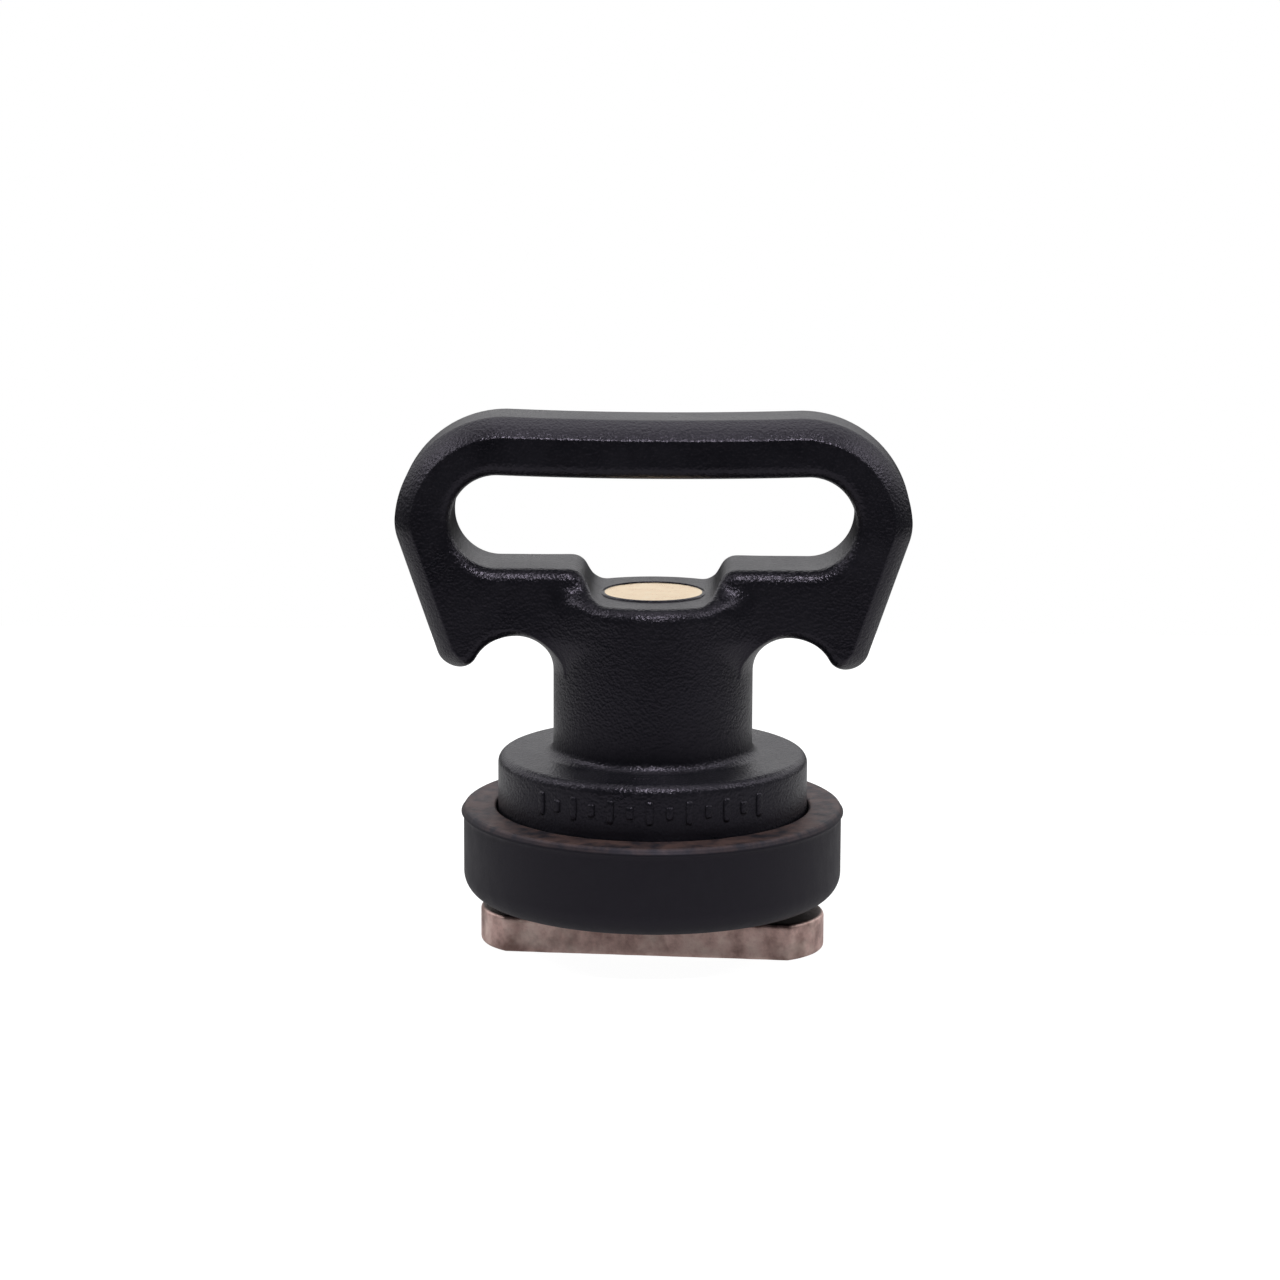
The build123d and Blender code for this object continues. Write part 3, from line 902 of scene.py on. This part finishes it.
up = add(steel, "SeparateXYZ", {"Vector": facing}).outputs["Z"]
# painted shade: faces that look up are darkened to stand in for the shadow that falls under the ring
painted_top_shade = add(steel, "MapRange", {"Value": up}, From_Min=0.6, From_Max=0.95, To_Min=0.0, To_Max=0.9)
top_shaded = add(
    steel,
    "MixRGB",
    {"Color1": dirty.outputs["Color"], "Fac": painted_top_shade.outputs["Result"]},
    Color2=colour("#2c2522"),
)
dull = add(steel, "MapRange", {"Value": blotch}, From_Min=0.3, From_Max=0.7, To_Min=0.38, To_Max=0.55)
cast_skin = add(steel, "Bump", {"Height": sand.outputs["Fac"]}, Strength=0.5, Distance=0.05 * MM)
feed(steel, top_shaded.outputs["Color"], shader.inputs["Base Color"])
feed(steel, dull.outputs["Result"], shader.inputs["Roughness"])
feed(steel, cast_skin.outputs["Normal"], shader.inputs["Normal"])
shader.inputs["Metallic"].default_value = 1.0

# %% Finishes on their pieces
for obj, finish in (
    (handle, nylon), (marks, nylon), (insert, brass), (ring, rubber), (head, steel), (stud, steel)
):
    obj.data.materials.append(finish)

# the CAD nodes that the pieces replace carry the same finishes
cad_finishes = {"handle": nylon, "threaded_insert": brass, "rubber_ring": rubber, "t_bolt": steel}
for node, finish in cad_finishes.items():
    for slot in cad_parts[node].material_slots:
        slot.material = finish
print("finishes", [finish.name for finish in cad_finishes.values()])

# %% [markdown]
# ## Floor, light and camera
#
# The anchor stands on a plain white floor in a white room. Black plastic shows only what it
# mirrors. So in reflections the room is bright behind, dim in front and dark low down, and the floor
# is dim as well, while the camera sees both as white. A small key lamp high in front catches the
# rounded edges, and a large soft one overhead and one at each side fill in.

# %% Floor
FLOOR_HALF, FLOOR_FRONT, FLOOR_BACK, FLOOR_POINTS = 130.0, -96.0, 150.0, 5
floor_x = np.linspace(-FLOOR_HALF, FLOOR_HALF, FLOOR_POINTS)
floor_y = np.linspace(FLOOR_FRONT, FLOOR_BACK, FLOOR_POINTS)
fx, fy = np.meshgrid(floor_x, floor_y, indexing="ij")
floor_mesh = bpy.data.meshes.new("floor")
floor_points = np.stack([fx, fy, np.full_like(fx, HEAD_BOTTOM)], -1).reshape(-1, 3) * MM
floor_mesh.from_pydata(floor_points.tolist(), [], grid_faces(FLOOR_POINTS, FLOOR_POINTS).tolist())
floor = bpy.data.objects.new("floor", floor_mesh)
bpy.context.scene.collection.objects.link(floor)
paper, shader, place = material("white paper floor")
shader.inputs["Base Color"].default_value = colour("#8c8c8c")
shader.inputs["Roughness"].default_value = 0.9
shader.inputs["Emission Color"].default_value = (1, 1, 1, 1)
seen = add(paper, "LightPath").outputs["Is Camera Ray"]
glow = add(paper, "MapRange", {"Value": seen}, From_Min=0.0, From_Max=1.0, To_Min=0.24, To_Max=0.97)
feed(paper, glow.outputs["Result"], shader.inputs["Emission Strength"])
floor.data.materials.append(paper)
print("floor mm", 2 * FLOOR_HALF, "by", FLOOR_BACK - FLOOR_FRONT)

# %% White room
world = bpy.data.worlds.new("white room")
bpy.context.scene.world = world
world.use_nodes = True
room = world.node_tree.nodes["Background"]
room.inputs["Color"].default_value = (1, 1, 1, 1)
way = add(world, "TexCoord").outputs["Generated"]
ways = add(world, "SeparateXYZ", {"Vector": way})
rear = add(
    world,
    "MapRange",
    {"Value": ways.outputs["Y"]},
    From_Min=-0.25,
    From_Max=0.45,
    To_Min=0.02,
    To_Max=0.94,
)
above = add(
    world,
    "MapRange",
    {"Value": ways.outputs["Z"]},
    From_Min=0.02,
    From_Max=0.22,
    To_Min=0.04,
    To_Max=1.06,
)
sides = {0: rear.outputs["Result"], 1: above.outputs["Result"]}
mirrored = add(world, "Math", sides, {"operation": "MULTIPLY"})
seen = add(world, "LightPath").outputs["Is Camera Ray"]
strength = add(world, "Mix", {"Factor": seen, "A": mirrored.outputs["Value"]}, B=1.0)
feed(world, strength.outputs["Result"], room.inputs["Strength"])

# %% Lamps


def soft_light(name, place, target, size, power):
    """A square area light at a place in millimetres, facing a target."""
    data = bpy.data.lights.new(name, "AREA")
    data.size, data.energy = size * MM, power
    light = bpy.data.objects.new(name, data)
    light.location = Vector(place) * MM
    light.rotation_mode = "QUATERNION"
    light.rotation_quaternion = ((Vector(target) - Vector(place)) * MM).to_track_quat("-Z", "Y")
    bpy.context.scene.collection.objects.link(light)
    print(f"{name} lamp: {size} mm across, {power} W")


soft_light("key", (30, -300, 410), (0, 0, 25), 45, 1.2)
soft_light("top", (0, 60, 420), (0, 0, 20), 300, 0.25)
soft_light("left", (-300, -40, 300), (0, 0, 30), 120, 0.3)
soft_light("right", (300, -40, 300), (0, 0, 30), 120, 0.3)

# %% Camera
LENS, SENSOR = 118.54, 36.0
STAND = (-1.24, -387.0, 102.37)
YAW, PITCH_DOWN, ROLL = np.radians(1.2), np.radians(11.42), np.radians(0.22)

camera_data = bpy.data.cameras.new("camera")
camera = bpy.data.objects.new("camera", camera_data)
bpy.context.scene.collection.objects.link(camera)
bpy.context.scene.camera = camera
camera_data.lens, camera_data.sensor_width = LENS, SENSOR
round_z = Matrix.Rotation(YAW, 4, "Z")
spot = round_z @ Vector((*(v * MM for v in STAND), 1.0))
aim = round_z @ Matrix.Rotation(np.pi / 2 - PITCH_DOWN, 4, "X") @ Matrix.Rotation(ROLL, 4, "Z")
camera.location = spot.xyz
camera.rotation_mode = "QUATERNION"
camera.rotation_quaternion = aim.to_quaternion()
bpy.context.scene.view_settings.view_transform = "Standard"
print("camera mm", [round(v / MM, 1) for v in camera.location])
